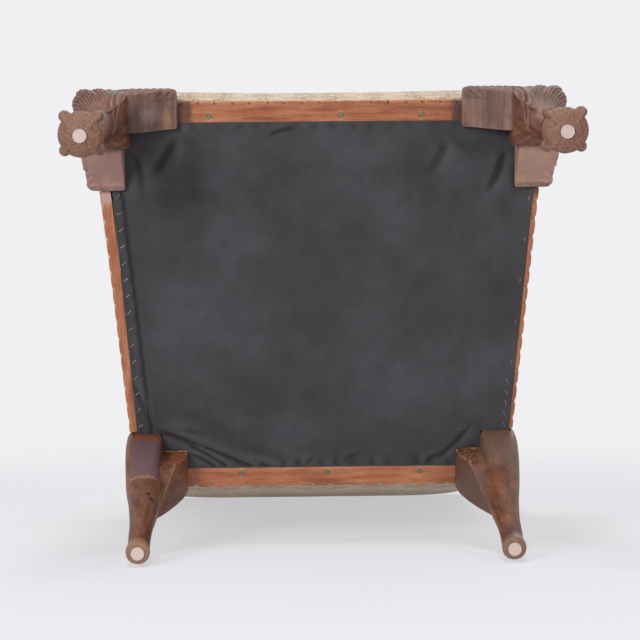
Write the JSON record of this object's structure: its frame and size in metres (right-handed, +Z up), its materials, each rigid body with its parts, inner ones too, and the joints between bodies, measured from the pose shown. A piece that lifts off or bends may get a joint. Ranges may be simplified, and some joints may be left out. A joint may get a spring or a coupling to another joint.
{
  "type": "wing chair",
  "caption": "Upholstered wing chair with rolled arms and a loose seat cushion, on carved cabriole legs with ball-and-claw front feet and scalloped edge strips under the rails.",
  "frame": {"origin": "on the floor, under the middle of the chair's bounding box", "axes": "+Z up, the chair's front towards -Y, its left side as seen from in front towards -X"},
  "size_m": [0.734, 0.8836, 1.1569],
  "materials": {
    "mahogany": "satin dark reddish-brown mahogany",
    "strip_wood": "satin orange-brown mahogany",
    "frame_wood": "raw hardwood",
    "cover": "woven cream and tan fabric",
    "black_cloth": "black cambric",
    "jute": "jute webbing and burlap",
    "felt": "beige felt and plastic glide",
    "foam": "down-wrapped cushion core",
    "steel": "dull steel",
    "zip": "tan zip tape"
  },
  "bodies": {
    "chair": {"front_rail": "frame_wood", "rear_rail": "frame_wood", "left_side_rail": "frame_wood", "right_side_rail": "frame_wood", "corner_blocks": "frame_wood", "corner_block_screws": "steel", "front_left_leg": "mahogany", "front_right_leg": "mahogany", "rear_left_leg": "mahogany", "rear_right_leg": "mahogany", "rear_leg_dowels": "frame_wood", "foot_glides": "felt", "front_left_knee_brackets": "mahogany", "front_right_knee_brackets": "mahogany", "rear_left_knee_bracket": "mahogany", "rear_right_knee_bracket": "mahogany", "front_edge_strip": "strip_wood", "rear_edge_strip": "strip_wood", "left_edge_strip": "strip_wood", "right_edge_strip": "strip_wood", "edge_strip_screws": "steel", "left_back_post": "frame_wood", "right_back_post": "frame_wood", "crest_rail": "frame_wood", "lower_back_rail": "frame_wood", "left_arm_post": "frame_wood", "right_arm_post": "frame_wood", "left_arm_board": "frame_wood", "right_arm_board": "frame_wood", "left_wing_board": "frame_wood", "right_wing_board": "frame_wood", "seat_webbing": "jute", "seat_springs": "steel", "spring_burlap": "jute", "deck_pad": "cover", "dust_cover": "black_cloth", "dust_cover_staples": "steel", "back_webbing": "jute", "front_border": "cover", "inside_back_pad": "cover", "crest_pad": "cover", "outside_back_panel": "cover", "left_arm_pad": "cover", "right_arm_pad": "cover", "left_arm_facing": "cover", "right_arm_facing": "cover", "arm_facing_welts": "cover", "left_wing_pad": "cover", "right_wing_pad": "cover", "left_outside_arm_panel": "cover", "right_outside_arm_panel": "cover", "left_outside_wing_panel": "cover", "right_outside_wing_panel": "cover"},
    "cushion": {"cushion_core": "foam", "cushion_top_cover": "cover", "cushion_bottom_cover": "cover", "cushion_boxing": "cover", "cushion_welts": "cover", "cushion_zip": "zip"}
  },
  "joints": [
    {"name": "seat_cushion_lift", "type": "slide", "parent": "chair", "child": "cushion", "axis": [0, 0, 1], "range_m": [0, 0.25]}
  ]
}
